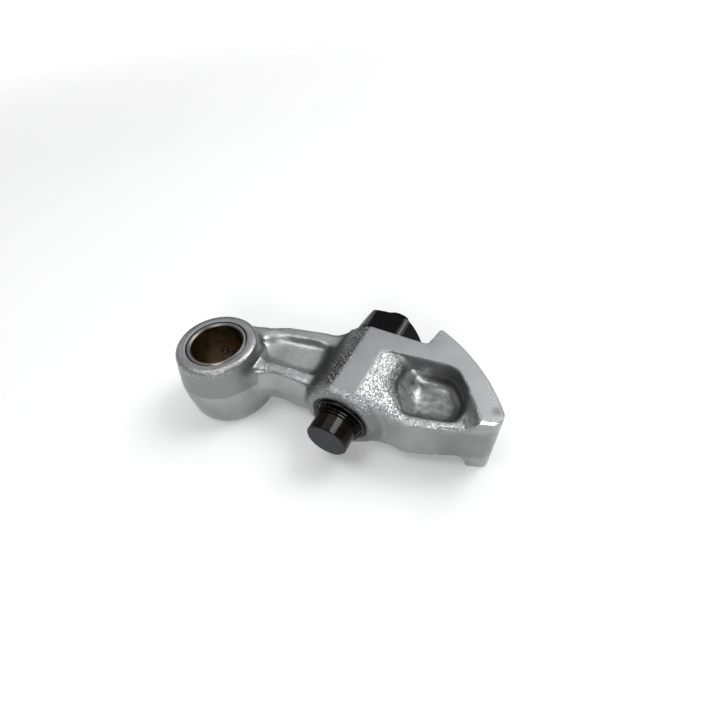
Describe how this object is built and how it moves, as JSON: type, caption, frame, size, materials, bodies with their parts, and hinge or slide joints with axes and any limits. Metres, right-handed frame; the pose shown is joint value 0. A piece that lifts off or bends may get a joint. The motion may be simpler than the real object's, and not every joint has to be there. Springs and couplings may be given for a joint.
{
  "type": "rocker arm",
  "caption": "Cast aluminium rocker arm with a bushed pivot eye, an adjusting screw with lock nut and swivel foot, and a curved slipper end.",
  "frame": {"origin": "on the pivot bore's axis at half the height of the eye", "axes": "+Z along the pivot bore, +X from the eye to the slipper end, +Y along the adjusting screw from the foot to the lock nut"},
  "size_m": [0.1264, 0.0711, 0.03],
  "materials": {
    "cast_aluminium": "satin",
    "bearing_bronze": "satin",
    "black_steel": "satin",
    "polished_black_steel": "gloss"
  },
  "bodies": {
    "arm": {"rocker_body": "cast_aluminium", "pivot_bush": "bearing_bronze", "foot_stop_ring": "black_steel"},
    "screw": {"adjusting_screw": "black_steel"},
    "foot": {"swivel_foot": "polished_black_steel"},
    "nut": {"lock_nut": "black_steel"}
  },
  "joints": [
    {"name": "screw_advance", "type": "slide", "parent": "arm", "child": "screw", "axis": [0, -1, 0], "range_m": [0, 0.003]},
    {"name": "foot_swivel", "type": "hinge", "parent": "screw", "child": "foot", "pos_m": [0.0545, -0.0074, 0], "axis": [0, 0, 1], "range_deg": [-8, 8]},
    {"name": "lock_nut_turn", "type": "hinge", "parent": "arm", "child": "nut", "pos_m": [0.0545, 0.0387, 0], "axis": [0, 1, 0], "range_deg": [0, 180]}
  ]
}
